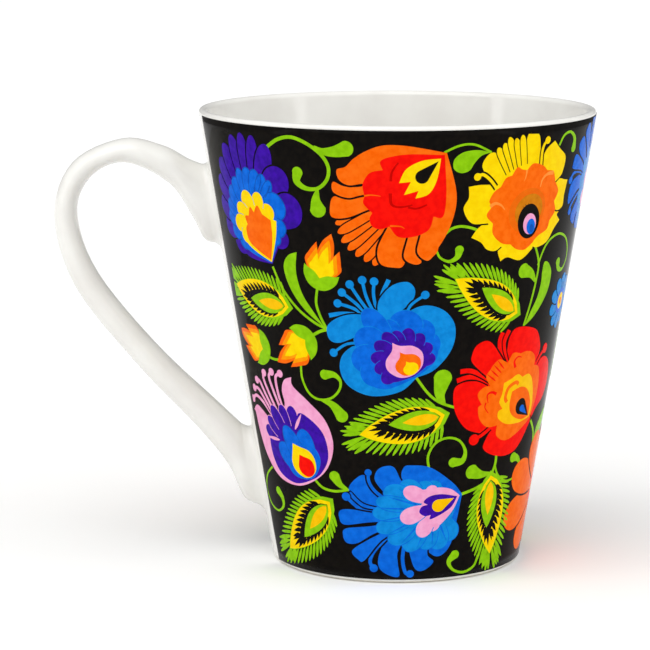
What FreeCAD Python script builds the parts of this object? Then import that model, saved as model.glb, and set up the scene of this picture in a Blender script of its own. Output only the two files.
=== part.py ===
"""Tapered ceramic mug with an ear handle, as a parametric FreeCAD document.

Millimetres, +Z up. The origin is the centre of the foot ring, on the plane the mug stands on.
The handle reaches out along -X, and the XZ plane is the plane of symmetry.
"""

import FreeCAD, Part
import os
from collections import namedtuple

import Sketcher

DIMENSIONS = {
    # the thrown-and-turned cup
    "cup_height": 104.0,
    "rim_radius": 45.2,
    "base_radius": 28.5,
    "rim_wall": 2.6,
    "base_wall": 3.2,
    "floor_height": 6.2,
    "foot_recess": 2.0,
    "foot_ring_width": 3.4,
    "foot_ring_slope": 1.2,
    "lip_round": 1.25,
    "foot_round": 1.0,
    "recess_round": 0.8,
    "floor_round": 8.0,
    # slip joints that hold the handle on the wall
    "slip_thickness": 0.8,
    "slip_width": 14.6,
    "slip_draw": 20.0,
    "upper_slip_height": 82.3,
    "upper_slip_length": 21.8,
    "lower_slip_height": 20.3,
    "lower_slip_length": 19.6,
    # printed transfer sheet, wrapped round the cup and open behind the handle
    "transfer_thickness": 0.2,
    "transfer_bottom": 1.5,
    "transfer_top": 102.6,
    "transfer_gap": 20.0,
}

# A section of the handle: reach is measured out from the cup's axis, height up from the table.
Section = namedtuple("Section", "name outer_reach outer_height inner_reach inner_height width")
HANDLE_SECTIONS = (
    Section("upper_end", 36.0, 88.8, 36.0, 73.2, 12.4),
    Section("upper_root", 43.0, 90.3, 43.6, 73.6, 12.4),
    Section("upper_neck", 47.6, 92.3, 46.6, 79.0, 11.6),
    Section("shoulder", 53.4, 95.3, 52.0, 86.8, 10.2),
    Section("crown", 62.6, 96.9, 62.2, 91.5, 9.2),
    Section("bend", 74.0, 91.4, 70.1, 87.8, 9.0),
    Section("ear", 78.3, 79.3, 73.0, 79.3, 9.2),
    Section("flank", 73.7, 62.9, 68.4, 65.9, 9.4),
    Section("waist", 59.7, 44.8, 55.0, 49.2, 9.6),
    Section("tail", 46.2, 30.5, 41.6, 36.3, 10.4),
    Section("lower_neck", 38.9, 21.4, 36.5, 31.4, 11.6),
    Section("lower_root", 34.9, 13.2, 34.4, 29.6, 12.4),
    Section("lower_end", 26.0, 10.6, 26.0, 28.6, 12.4),
)
SECTION_SIZES = Section._fields[1:]

DRAFT_OVERSHOOT = 1.0  # how far a cutting cone or box runs past the face it cuts


def make_sheet(doc):
    """Spreadsheet that drives every sub-part, one aliased cell to a size."""
    sizes = dict(DIMENSIONS)
    for section in HANDLE_SECTIONS:
        for field in SECTION_SIZES:
            sizes[f"{section.name}_{field}"] = getattr(section, field)
    sheet = doc.addObject("Spreadsheet::Sheet", "Sizes")
    for row, (alias, value) in enumerate(sizes.items(), start=1):
        sheet.set(f"A{row}", alias)
        sheet.set(f"B{row}", str(value))
        sheet.setAlias(f"B{row}", alias)
    doc.recompute()
    return sheet


def origin_plane(body, role):
    return next(item for item in body.Origin.OriginFeatures if item.Role == role)


def fix_start(sketch, line, radius, height):
    """Bind a line's start to a radius and a height; None puts it on the cup's axis or on the table."""
    for kind, value, axis in (("DistanceX", radius, -2), ("DistanceY", height, -1)):
        if value is None:
            sketch.addConstraint(Sketcher.Constraint("PointOnObject", line, 1, axis))
            continue
        constraint = sketch.addConstraint(Sketcher.Constraint(kind, -1, 1, line, 1, 1.0))
        sketch.setExpression(f"Constraints[{constraint}]", value)


def edge_names(shape, radius, height):
    """Names of the full circles of one radius at one height."""
    found = []
    for number, edge in enumerate(shape.Edges, start=1):
        curve = edge.Curve
        if not isinstance(curve, Part.Circle):
            continue
        if abs(curve.Radius - radius) < 0.01 and abs(curve.Center.z - height) < 0.01:
            found.append(f"Edge{number}")
    return found


def round_edge(body, feature, name, radius, height, size):
    """Fillet one circular edge of the turned cup."""
    edges = edge_names(feature.Shape, radius, height)
    if len(edges) != 1:
        raise RuntimeError(f"{name} needs one edge, not {len(edges)}")
    fillet = body.newObject("PartDesign::Fillet", name)
    fillet.Base = (feature, edges)
    fillet.setExpression("Radius", f"Sizes.{size}")
    body.Document.recompute()
    return fillet


def make_cup_body(doc, sheet):
    """The cup with its rounded lip, rounded floor and turned foot ring, revolved in one piece."""
    body = doc.addObject("PartDesign::Body", "CupBody")
    body.Label = "cup_body"
    sketch = body.newObject("Sketcher::SketchObject", "CupProfile")
    sketch.AttachmentSupport = [(origin_plane(body, "XZ_Plane"), "")]
    sketch.MapMode = "FlatFace"
    corners = (
        (None, "Sizes.foot_recess"),
        ("Sizes.base_radius - Sizes.foot_ring_width - Sizes.foot_ring_slope", "Sizes.foot_recess"),
        ("Sizes.base_radius - Sizes.foot_ring_width", None),
        ("Sizes.base_radius", None),
        ("Sizes.rim_radius", "Sizes.cup_height"),
        ("Sizes.rim_radius - Sizes.rim_wall", "Sizes.cup_height"),
        ("Sizes.base_radius - Sizes.base_wall + (Sizes.rim_radius - Sizes.base_radius)"
         " * Sizes.floor_height / Sizes.cup_height", "Sizes.floor_height"),
        (None, "Sizes.floor_height"),
    )
    draft = ((0, 2), (24, 2), (25, 0), (28, 0), (45, 104), (42, 104), (26, 6), (0, 6))
    for start, end in zip(draft, draft[1:] + draft[:1]):
        sketch.addGeometry(Part.LineSegment(FreeCAD.Vector(*start, 0), FreeCAD.Vector(*end, 0)), False)
    for line in range(len(draft)):
        following = (line + 1) % len(draft)
        sketch.addConstraint(Sketcher.Constraint("Coincident", line, 2, following, 1))
    for line, (radius, height) in enumerate(corners):
        fix_start(sketch, line, radius, height)
    turned = body.newObject("PartDesign::Revolution", "TurnedCup")
    turned.Profile = sketch
    turned.ReferenceAxis = (sketch, ["V_Axis"])
    turned.Angle = 360.0
    doc.recompute()
    inner_base = (sheet.base_radius - sheet.base_wall
                  + (sheet.rim_radius - sheet.base_radius) * sheet.floor_height / sheet.cup_height)
    foot_inner = sheet.base_radius - sheet.foot_ring_width
    rounds = (
        ("OuterLip", sheet.rim_radius, sheet.cup_height, "lip_round"),
        ("InnerLip", sheet.rim_radius - sheet.rim_wall, sheet.cup_height, "lip_round"),
        ("FloorRound", inner_base, sheet.floor_height, "floor_round"),
        ("FootOuterRound", sheet.base_radius, 0.0, "foot_round"),
        ("FootInnerRound", foot_inner, 0.0, "foot_round"),
        ("RecessRound", foot_inner - sheet.foot_ring_slope, sheet.foot_recess, "recess_round"),
    )
    feature = turned
    for name, radius, height, size in rounds:
        feature = round_edge(body, feature, name, radius, height, size)
    return body


def make_cone(doc, name, offset):
    """Solid cone that follows the cup's outer wall, standing off from it by the named size."""
    cone = doc.addObject("Part::Cone", name)
    extra = f" + Sizes.{offset}" if offset else ""
    cone.setExpression("Radius1", f"Sizes.base_radius{extra}")
    cone.setExpression("Radius2", f"Sizes.rim_radius{extra}")
    cone.setExpression("Height", "Sizes.cup_height")
    return cone


def section_wire(sheet, name):
    """Oval whose long or short axis joins the outer edge of the handle to its inner edge."""
    sizes = [getattr(sheet, f"{name}_{field}") for field in SECTION_SIZES]
    outer_reach, outer_height, inner_reach, inner_height, width = sizes
    outer = FreeCAD.Vector(-outer_reach, 0, outer_height)
    inner = FreeCAD.Vector(-inner_reach, 0, inner_height)
    across = (outer - inner) * 0.5
    sideways = FreeCAD.Vector(0, width / 2, 0)
    normal = across.cross(sideways)
    centre = (outer + inner) * 0.5
    to_place = FreeCAD.Matrix(
        across.x, sideways.x, normal.x, centre.x,
        across.y, sideways.y, normal.y, centre.y,
        across.z, sideways.z, normal.z, centre.z,
        0, 0, 0, 1,
    )
    return Part.Wire(Part.makeCircle(1.0).transformGeometry(to_place).Edges)


def make_handle(doc, sheet, slip_face):
    """Cast ear handle, lofted through ovals and cut to sit on the slip.

    An ellipse feature can't be longer across than along, which the roots need, so the loft
    is a Part::Feature that reads the sheet.
    """
    blank = doc.addObject("Part::Feature", "HandleBlank")
    wires = [section_wire(sheet, section.name) for section in HANDLE_SECTIONS]
    blank.Shape = Part.makeLoft(wires, True, False)
    handle = doc.addObject("Part::Cut", "Handle")
    handle.Label = "handle"
    handle.Base = blank
    handle.Tool = slip_face
    return handle


def make_slip_joint(doc, name, label, prefix, cup_face, slip_face):
    """Oval bed of slip between the wall and one end of the handle."""
    outline = doc.addObject("Part::Ellipse", f"{name}Outline")
    outline.setExpression("MajorRadius", f"Sizes.{prefix}_slip_length / 2")
    outline.setExpression("MinorRadius", "Sizes.slip_width / 2")
    # the long axis stands upright and the oval faces out along -X
    outline.Placement.Rotation = FreeCAD.Rotation(FreeCAD.Vector(0, 1, 0), -90)
    outline.setExpression("Placement.Base.x", "-(Sizes.base_radius - Sizes.slip_draw / 2)")
    outline.setExpression("Placement.Base.z", f"Sizes.{prefix}_slip_height")
    block = doc.addObject("Part::Extrusion", f"{name}Block")
    block.Base = outline
    block.Dir = FreeCAD.Vector(-1, 0, 0)
    block.DirMode = "Custom"
    block.setExpression("LengthFwd", "Sizes.slip_draw + Sizes.rim_radius - Sizes.base_radius")
    block.Solid = True
    bed = doc.addObject("Part::Common", f"{name}Bed")
    bed.Base = block
    bed.Tool = slip_face
    joint = doc.addObject("Part::Cut", name)
    joint.Label = label
    joint.Base = bed
    joint.Tool = cup_face
    return joint


def make_transfer(doc, cup_face):
    """Thin printed sheet on the outer wall, with a plain strip left open behind the handle."""
    slope = "(Sizes.rim_radius - Sizes.base_radius) / Sizes.cup_height"
    sheet_cone = doc.addObject("Part::Cone", "TransferCone")
    for which, level in (("Radius1", "transfer_bottom"), ("Radius2", "transfer_top")):
        radius = f"Sizes.base_radius + {slope} * Sizes.{level} + Sizes.transfer_thickness"
        sheet_cone.setExpression(which, radius)
    sheet_cone.setExpression("Height", "Sizes.transfer_top - Sizes.transfer_bottom")
    sheet_cone.setExpression("Placement.Base.z", "Sizes.transfer_bottom")
    sleeve = doc.addObject("Part::Cut", "TransferSleeve")
    sleeve.Base = sheet_cone
    sleeve.Tool = cup_face
    gap = doc.addObject("Part::Box", "TransferGap")
    gap.setExpression("Length", f"Sizes.rim_radius + {DRAFT_OVERSHOOT}")
    gap.setExpression("Width", "Sizes.transfer_gap")
    gap.setExpression("Height", "Sizes.cup_height")
    gap.setExpression("Placement.Base.x", f"-(Sizes.rim_radius + {DRAFT_OVERSHOOT})")
    gap.setExpression("Placement.Base.y", "-Sizes.transfer_gap / 2")
    transfer = doc.addObject("Part::Cut", "WrapTransfer")
    transfer.Label = "wrap_transfer"
    transfer.Base = sleeve
    transfer.Tool = gap
    return transfer


def check(doc, parts):
    """Stop unless every object recomputed and every sub-part is one valid solid."""
    for item in doc.Objects:
        if "Invalid" in item.State or "Error" in item.State:
            raise RuntimeError(f"{item.Label} failed to recompute: {item.State}")
    for part in parts:
        shape = part.Shape
        if shape.isNull() or not shape.isValid() or len(shape.Solids) != 1:
            raise RuntimeError(f"{part.Label} is not one valid solid")


def main():
    doc = FreeCAD.newDocument("mug")
    sheet = make_sheet(doc)
    cup_face = make_cone(doc, "CupFace", "")
    slip_face = make_cone(doc, "SlipFace", "slip_thickness")
    parts = [
        make_cup_body(doc, sheet),
        make_handle(doc, sheet, slip_face),
        make_slip_joint(doc, "UpperSlip", "upper_slip_joint", "upper", cup_face, slip_face),
        make_slip_joint(doc, "LowerSlip", "lower_slip_joint", "lower", cup_face, slip_face),
        make_transfer(doc, cup_face),
    ]
    doc.recompute()
    check(doc, parts)
    os.makedirs("parts", exist_ok=True)
    for part in parts:
        part.Shape.exportStep(os.path.join("parts", f"{part.Label}.step"))


main()
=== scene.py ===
import math

import bpy
import numpy
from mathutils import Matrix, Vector, geometry


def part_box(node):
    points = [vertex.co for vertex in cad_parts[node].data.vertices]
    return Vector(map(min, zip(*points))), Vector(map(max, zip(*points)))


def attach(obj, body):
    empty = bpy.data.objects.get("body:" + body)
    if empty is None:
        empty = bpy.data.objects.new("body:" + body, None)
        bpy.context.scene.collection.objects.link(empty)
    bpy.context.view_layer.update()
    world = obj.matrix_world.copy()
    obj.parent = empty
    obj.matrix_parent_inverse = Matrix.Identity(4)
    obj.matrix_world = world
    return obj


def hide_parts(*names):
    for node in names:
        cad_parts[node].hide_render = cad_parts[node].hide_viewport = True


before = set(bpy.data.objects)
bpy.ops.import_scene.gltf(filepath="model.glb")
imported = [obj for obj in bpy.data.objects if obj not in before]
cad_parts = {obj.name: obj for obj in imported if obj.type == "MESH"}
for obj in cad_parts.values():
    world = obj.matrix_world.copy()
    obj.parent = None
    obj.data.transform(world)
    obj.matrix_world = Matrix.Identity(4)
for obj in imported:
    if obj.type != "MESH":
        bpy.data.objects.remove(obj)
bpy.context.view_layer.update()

MM = 0.001
SEGMENTS = 192  # sides of everything turned on the wheel


# ---------------------------------------------------------------- colour and materials

def linear(hex_colour):
    """sRGB hex colour as linear red, green, blue and alpha."""
    parts = [int(hex_colour[i:i + 2], 16) / 255 for i in (1, 3, 5)]
    return [c / 12.92 if c <= 0.04045 else ((c + 0.055) / 1.055) ** 2.4 for c in parts] + [1.0]


def add_node(tree, kind, settings=None, inputs=None, links=None):
    """One node with its settings, its socket values and the outputs that feed its sockets."""
    node = tree.nodes.new(kind)
    for name, value in (settings or {}).items():
        setattr(node, name, value)
    for name, value in (inputs or {}).items():
        node.inputs[name].default_value = value
    for name, source in (links or {}).items():
        tree.links.new(source, node.inputs[name])
    return node


def new_material(name):
    """Empty node material with one Principled shader, and that shader."""
    material = bpy.data.materials.new(name)
    material.use_nodes = True
    tree = material.node_tree
    tree.nodes.clear()
    shader = add_node(tree, "ShaderNodeBsdfPrincipled")
    add_node(tree, "ShaderNodeOutputMaterial", links={"Surface": shader.outputs["BSDF"]})
    return material, tree, shader


def mottled(tree, low, high, patch_mm, detail=3.0):
    """Colour that drifts between two close tones, in patches of a real size."""
    where = add_node(tree, "ShaderNodeTexCoord")
    noise = add_node(tree, "ShaderNodeTexNoise", inputs={"Scale": 1 / (patch_mm * MM), "Detail": detail},
                     links={"Vector": where.outputs["Object"]})
    ramp = add_node(tree, "ShaderNodeValToRGB", links={"Fac": noise.outputs["Fac"]})
    ramp.color_ramp.elements[0].position, ramp.color_ramp.elements[0].color = 0.35, linear(low)
    ramp.color_ramp.elements[1].position, ramp.color_ramp.elements[1].color = 0.65, linear(high)
    return ramp.outputs["Color"]


def glazed_porcelain():
    """Cast white body under a clear feldspar glaze: warm white, glassy, very slightly uneven."""
    material, tree, shader = new_material("glazed_porcelain")
    tree.links.new(mottled(tree, "#E4E2DD", "#EAE9E4", 9.0), shader.inputs["Base Color"])
    where = add_node(tree, "ShaderNodeTexCoord")
    ripple = add_node(tree, "ShaderNodeTexNoise", inputs={"Scale": 1 / (7.0 * MM), "Detail": 1.0},
                      links={"Vector": where.outputs["Object"]})
    bump = add_node(tree, "ShaderNodeBump", inputs={"Strength": 0.05, "Distance": 0.2 * MM},
                    links={"Height": ripple.outputs["Fac"]})
    tree.links.new(bump.outputs["Normal"], shader.inputs["Normal"])
    shader.inputs["Roughness"].default_value = 0.12
    shader.inputs["IOR"].default_value = 1.5
    return material


def bare_biscuit():
    """Unglazed fired clay of the foot ring: matt, a little greyer, with fine grit."""
    material, tree, shader = new_material("bare_biscuit")
    tree.links.new(mottled(tree, "#D3CDBE", "#E4DFD2", 0.5, 6.0), shader.inputs["Base Color"])
    shader.inputs["Roughness"].default_value = 0.75
    return material


def fired_enamel(name, deep, bright):
    """Overglaze printing colour, fired until it flows: even, glassy, with faint drifts of pigment."""
    material, tree, shader = new_material(name)
    tree.links.new(mottled(tree, deep, bright, 1.4), shader.inputs["Base Color"])
    shader.inputs["Roughness"].default_value = 0.14
    shader.inputs["IOR"].default_value = 1.45
    shader.inputs["Specular IOR Level"].default_value = 0.03
    return material


INKS = {
    "ground": ("#0C0A09", "#13100D"),
    "violet": ("#300E87", "#3D11A2"),
    "royal": ("#055AC6", "#0C69D6"),
    "royal_deep": ("#0947A2", "#0D53B3"),
    "sky": ("#0979C6", "#1088D4"),
    "yellow": ("#EDC600", "#F1D207"),
    "yellow_deep": ("#EAB200", "#F1BD09"),
    "gold": ("#EC8D00", "#F19909"),
    "orange": ("#EB5C00", "#F16B10"),
    "orange_light": ("#F1862D", "#F1913C"),
    "orange_brown": ("#DF6007", "#E36809"),
    "amber": ("#BD6B09", "#CC7B0D"),
    "red": ("#E50704", "#F11207"),
    "red_deep": ("#B20200", "#C40500"),
    "pink": ("#E393BD", "#EAA4C8"),
    "lime": ("#7BB509", "#8AC410"),
}


# ---------------------------------------------------------------- the wall that everything sits on

SAME_HEIGHT = 0.05 * MM  # how near a CAD point has to be to count as at a height


def ring_radius(node, height):
    """Largest radius of a CAD node's points at one height."""
    points = (v.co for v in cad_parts[node].data.vertices)
    return max(math.hypot(p.x, p.y) for p in points if abs(p.z - height) < SAME_HEIGHT)


TRANSFER_CAD_THICKNESS = 0.2 * MM
transfer_low, transfer_high = (corner.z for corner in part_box("wrap_transfer"))
low_radius = ring_radius("wrap_transfer", transfer_low) - TRANSFER_CAD_THICKNESS
high_radius = ring_radius("wrap_transfer", transfer_high) - TRANSFER_CAD_THICKNESS
taper = (high_radius - low_radius) / (transfer_high - transfer_low)
draft = math.atan(taper)  # lean of the wall from upright
apex_depth = low_radius / taper - transfer_low  # how far below the table the cone would close
cup_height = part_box("cup_body")[1].z


def wall_radius(height):
    return (height + apex_depth) * taper


def on_wall(turn, height, lift=0.0):
    """Point on the outer wall: turn is measured from the front, -Y, towards +X."""
    radius = wall_radius(height) + lift * math.cos(draft)
    return Vector((radius * math.sin(turn), -radius * math.cos(turn), height - lift * math.sin(draft)))


def wall_normal(turn):
    return Vector((math.cos(draft) * math.sin(turn), -math.cos(draft) * math.cos(turn), -math.sin(draft)))


# ---------------------------------------------------------------- modelling helpers

def deselect_all():
    if bpy.context.object and bpy.context.object.mode != "OBJECT":
        bpy.ops.object.mode_set(mode="OBJECT")
    bpy.ops.object.select_all(action="DESELECT")


def finish_piece(piece, name, *materials):
    """Names a finished piece, gives it its materials and puts it on the mug's one body."""
    piece.name = name
    piece.data.name = name
    for material in materials:
        piece.data.materials.append(material)
    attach(piece, "root")


def skinned_piece(name, points, faces):
    """New piece from its points and faces, selected on its own."""
    mesh = bpy.data.meshes.new(name)
    mesh.from_pydata(points, [], faces)
    piece = bpy.data.objects.new(name, mesh)
    bpy.context.scene.collection.objects.link(piece)
    deselect_all()
    piece.select_set(True)
    bpy.context.view_layer.objects.active = piece
    return piece


def arc(radius_to_centre, centre_height, round_radius, start, end, steps):
    """Rings of a rounded corner; angles in degrees from outwards, towards up."""
    rings = []
    for i in range(steps + 1):
        a = math.radians(start + (end - start) * i / steps)
        rings.append((radius_to_centre + round_radius * math.cos(a),
                      centre_height + round_radius * math.sin(a)))
    return rings


def turn_rings(rings):
    """Turned solid: a disc's edge extruded and scaled from ring to ring, then closed at both ends."""
    deselect_all()
    first_radius, height = rings[0]
    bpy.ops.mesh.primitive_circle_add(vertices=SEGMENTS, radius=first_radius, fill_type="NGON",
                                      location=(0, 0, height), enter_editmode=True)
    bpy.ops.mesh.delete(type="ONLY_FACE")
    bpy.ops.mesh.select_all(action="SELECT")
    radius = first_radius
    for next_radius, next_height in rings[1:]:
        bpy.ops.mesh.extrude_edges_move(TRANSFORM_OT_translate={"value": (0, 0, next_height - height)})
        factor = next_radius / radius
        bpy.ops.transform.resize(value=(factor, factor, 1), center_override=(0, 0, next_height))
        radius, height = next_radius, next_height
    bpy.ops.mesh.edge_face_add()
    bpy.ops.mesh.select_all(action="DESELECT")
    bpy.ops.object.mode_set(mode="OBJECT")
    piece = bpy.context.object
    for vertex in piece.data.vertices[:SEGMENTS]:
        vertex.select = True
    bpy.ops.object.mode_set(mode="EDIT")
    bpy.ops.mesh.edge_face_add()
    bpy.ops.mesh.select_all(action="SELECT")
    bpy.ops.mesh.normals_make_consistent(inside=False)
    bpy.ops.object.mode_set(mode="OBJECT")
    bpy.ops.object.transform_apply(location=True, rotation=True, scale=True)
    bpy.ops.object.shade_smooth()
    return piece


# ---------------------------------------------------------------- the cup

LIP_OUTER_ROUND = 0.8 * MM
LIP_INNER_ROUND = 1.3 * MM
BASE_WALL = 3.2 * MM
FLOOR_HEIGHT = 6.2 * MM
FLOOR_ROUND = 8.0 * MM
FOOT_RECESS = 2.0 * MM
FOOT_RING_WIDTH = 3.4 * MM
FOOT_RING_SLOPE = 1.2 * MM
FOOT_ROUND = 1.0 * MM
FOOT_INNER_ROUND = 0.45 * MM
BARE_FOOT = 0.35 * MM  # the foot ring has no glaze below this height


def cup_rings():
    """The cup's section from the middle of the underside, round the lip, to the middle of the floor."""
    foot = wall_radius(0.0)
    lean = math.degrees(draft)
    recess = foot - FOOT_RING_WIDTH - FOOT_RING_SLOPE
    rings = [(recess * k, FOOT_RECESS) for k in (0.03, 0.3, 0.6, 0.85, 0.96)]
    rings += [(recess + 0.1 * MM, FOOT_RECESS - 0.1 * MM), (foot - FOOT_RING_WIDTH - 0.3 * MM, 0.4 * MM)]
    rings += arc(foot - FOOT_RING_WIDTH + 0.35 * MM, FOOT_INNER_ROUND, FOOT_INNER_ROUND, 200, 270, 4)
    corner = foot - FOOT_ROUND * math.tan(math.radians(45 + lean / 2))
    rings += arc(corner, FOOT_ROUND, FOOT_ROUND, 270, 360 - lean, 8)
    lip_edge = cup_height - LIP_OUTER_ROUND * (1 + math.sin(draft))
    for k in range(1, 24):
        height = FOOT_ROUND + (lip_edge - FOOT_ROUND) * k / 24
        rings.append((wall_radius(height), height))
    lip_centre = wall_radius(lip_edge) - LIP_OUTER_ROUND * math.cos(draft)
    rings += arc(lip_centre, cup_height - LIP_OUTER_ROUND, LIP_OUTER_ROUND, -lean, 90, 9)
    rings += arc(lip_centre, cup_height - LIP_INNER_ROUND, LIP_INNER_ROUND, 90, 180 - lean, 12)[1:]
    inner_rim, inner_edge = rings[-1]
    inner_base = wall_radius(FLOOR_HEIGHT) - BASE_WALL
    inner_taper = (inner_rim - inner_base) / (inner_edge - FLOOR_HEIGHT)
    inner_lean = math.degrees(math.atan(inner_taper))
    round_centre = inner_base + inner_taper * FLOOR_ROUND - FLOOR_ROUND / math.cos(math.radians(inner_lean))
    floor_arc = arc(round_centre, FLOOR_HEIGHT + FLOOR_ROUND, FLOOR_ROUND, -inner_lean, -90, 12)
    for k in range(1, 18):
        height = inner_edge + (floor_arc[0][1] - inner_edge) * k / 18
        rings.append((inner_base + inner_taper * (height - FLOOR_HEIGHT), height))
    rings += floor_arc
    rings += [(round_centre * k, FLOOR_HEIGHT) for k in (0.75, 0.5, 0.25, 0.02)]
    return rings


def make_cup(glaze, biscuit):
    cup = turn_rings(cup_rings())
    finish_piece(cup, "porcelain_cup", glaze, biscuit)
    for face in cup.data.polygons:
        if face.center.z < BARE_FOOT:
            face.material_index = 1
    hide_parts("cup_body")


# ---------------------------------------------------------------- the handle

# Each oval of the handle: reach and height of its outer edge, of its inner edge, and its width, in mm.
HANDLE_OVALS = (
    (41.4, 88.8, 38.9, 73.2, 12.4),
    (43.0, 90.3, 43.6, 73.6, 12.4),
    (47.6, 92.3, 46.6, 79.0, 11.6),
    (53.4, 95.3, 52.0, 86.8, 10.2),
    (62.6, 96.9, 62.2, 91.5, 9.2),
    (74.0, 91.4, 70.1, 87.8, 9.0),
    (78.3, 79.3, 73.0, 79.3, 9.2),
    (73.7, 62.9, 68.4, 65.9, 9.4),
    (59.7, 44.8, 55.0, 49.2, 9.6),
    (46.2, 30.5, 41.6, 36.3, 10.4),
    (38.9, 21.4, 36.5, 31.4, 11.6),
    (34.9, 13.2, 34.4, 29.6, 12.4),
    (29.2, 11.2, 31.6, 28.8, 12.4),
)
OVALS_BETWEEN = 6
OVAL_SIDES = 48


def between(a, b, c, d, t):
    """Smooth step from b to c, with a and d as the neighbours."""
    return tuple(
        0.5 * (2 * q + (r - p) * t + (2 * p - 5 * q + 4 * r - s) * t * t + (3 * q - p - 3 * r + s) * t ** 3)
        for p, q, r, s in zip(a, b, c, d))


def smooth_ovals():
    last = len(HANDLE_OVALS) - 1
    ovals = []
    for i in range(last):
        near = [HANDLE_OVALS[min(max(i + k, 0), last)] for k in (-1, 0, 1, 2)]
        ovals += [between(*near, step / OVALS_BETWEEN) for step in range(OVALS_BETWEEN)]
    return ovals + [HANDLE_OVALS[last]]


def add_oval(outer_reach, outer_height, inner_reach, inner_height, width):
    """One oval in edit mode: a circle at the origin, sized, tilted about Y and carried to its place."""
    across, up = (inner_reach - outer_reach) * MM, (outer_height - inner_height) * MM
    bpy.ops.mesh.primitive_circle_add(vertices=OVAL_SIDES, radius=1.0, location=(0, 0, 0))
    bpy.ops.transform.resize(value=(math.hypot(across, up) / 2, width * MM / 2, 1),
                             center_override=(0, 0, 0))
    bpy.ops.transform.rotate(value=-math.atan2(up, -across), orient_axis="Y", center_override=(0, 0, 0))
    middle = (-(outer_reach + inner_reach) * MM / 2, 0, (outer_height + inner_height) * MM / 2)
    bpy.ops.transform.translate(value=middle)


def make_handle(glaze):
    """The strap handle: ovals along its loop, bridged and closed at both ends inside the wall."""
    deselect_all()
    bpy.ops.mesh.primitive_circle_add(vertices=3, radius=1.0, location=(0, 0, 0), enter_editmode=True)
    bpy.ops.mesh.delete(type="VERT")
    for oval in smooth_ovals():
        add_oval(*oval)
    bpy.ops.mesh.select_all(action="SELECT")
    bpy.ops.mesh.bridge_edge_loops()
    bpy.ops.mesh.select_all(action="SELECT")
    bpy.ops.mesh.fill_holes(sides=0)
    bpy.ops.mesh.normals_make_consistent(inside=False)
    bpy.ops.object.mode_set(mode="OBJECT")
    piece = bpy.context.object
    bpy.ops.object.shade_smooth()
    finish_piece(piece, "cast_handle", glaze)
    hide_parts("handle")


# ---------------------------------------------------------------- the slip at the two joints

SLIP_REACH = 3.2 * MM   # how far the slip runs out along the handle
SLIP_SPREAD = 2.2 * MM  # how far it spreads on the wall round the handle
SLIP_LIFT = 0.02 * MM    # its thin edge's height above the wall
SLIP_ROOT = 0.5 * MM     # how deep its hidden end goes into the wall
SLIP_CREASE = math.radians(50)
SLIP_OVALS = 30          # the smooth ovals from each end that it looks along for the wall
SLIP_STEPS = 8


def handle_line(side, ovals):
    """Points that one side of the handle's ovals runs through, from one oval to the next."""
    a = 2 * math.pi * side / OVAL_SIDES
    line = []
    for outer_reach, outer_height, inner_reach, inner_height, width in ovals:
        along = (1 + math.cos(a)) / 2
        reach = inner_reach + (outer_reach - inner_reach) * along
        height = inner_height + (outer_height - inner_height) * along
        line.append(Vector((-reach, width / 2 * math.sin(a), height)) * MM)
    return line


def above_wall(point):
    return math.hypot(point.x, point.y) - wall_radius(point.z)


def to_wall(point, lift):
    """The nearest place on the wall at the same turn, raised by lift."""
    turn = math.atan2(point.x, -point.y)
    radius = math.hypot(point.x, point.y) - above_wall(point) * math.cos(draft) ** 2
    height = point.z + above_wall(point) * math.sin(draft) * math.cos(draft)
    radius, height = radius + lift * math.cos(draft), height - lift * math.sin(draft)
    return Vector((radius * math.sin(turn), -radius * math.cos(turn), height))


def meeting(line):
    """Where a line that comes from inside the wall leaves it, and where it is SLIP_REACH further on."""
    for i in range(len(line) - 1):
        inside, outside = above_wall(line[i]), above_wall(line[i + 1])
        if inside <= 0 < outside:
            edge = line[i].lerp(line[i + 1], inside / (inside - outside))
            break
    left, last = SLIP_REACH, edge
    for point in line[i + 1:]:
        step = (point - last).length
        if step >= left:
            return edge, last.lerp(point, left / step)
        left, last = left - step, point
    return edge, last


def make_slip(name, node, ovals, glaze):
    """Smoothed slip round one end of the handle: a hollow fillet from the handle onto the wall."""
    pairs = [meeting(handle_line(side, ovals)) for side in range(OVAL_SIDES)]
    middle = sum((edge for edge, _ in pairs), Vector()) / OVAL_SIDES
    core = sum((far for _, far in pairs), Vector()) / OVAL_SIDES
    rings = [[core.lerp(far, 0.9) for _, far in pairs]]
    spread = []
    for edge, far in pairs:
        out = (edge - middle).normalized()
        spread.append(to_wall(edge + out * SLIP_SPREAD, SLIP_LIFT))
    for step in range(SLIP_STEPS + 1):
        t = step / SLIP_STEPS
        rings.append([far * (1 - t) ** 2 + edge * 2 * t * (1 - t) + end * t * t
                      for (edge, far), end in zip(pairs, spread)])
    rings.append([to_wall(end, -SLIP_ROOT) for end in spread])
    points = [point for ring in rings for point in ring]
    faces = []
    for i in range(len(rings) - 1):
        for j in range(OVAL_SIDES):
            k = (j + 1) % OVAL_SIDES
            faces.append((i * OVAL_SIDES + j, i * OVAL_SIDES + k, (i + 1) * OVAL_SIDES + k,
                          (i + 1) * OVAL_SIDES + j))
    faces += [tuple(range(OVAL_SIDES)), tuple(range(len(points) - OVAL_SIDES, len(points)))]
    piece = skinned_piece(name, points, faces)
    bpy.ops.object.mode_set(mode="EDIT")
    bpy.ops.mesh.select_all(action="SELECT")
    bpy.ops.mesh.normals_make_consistent(inside=False)
    bpy.ops.object.mode_set(mode="OBJECT")
    bpy.ops.object.shade_smooth_by_angle(angle=SLIP_CREASE)
    finish_piece(piece, name, glaze)
    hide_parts(node)


# ---------------------------------------------------------------- the transfer's black ground

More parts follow.
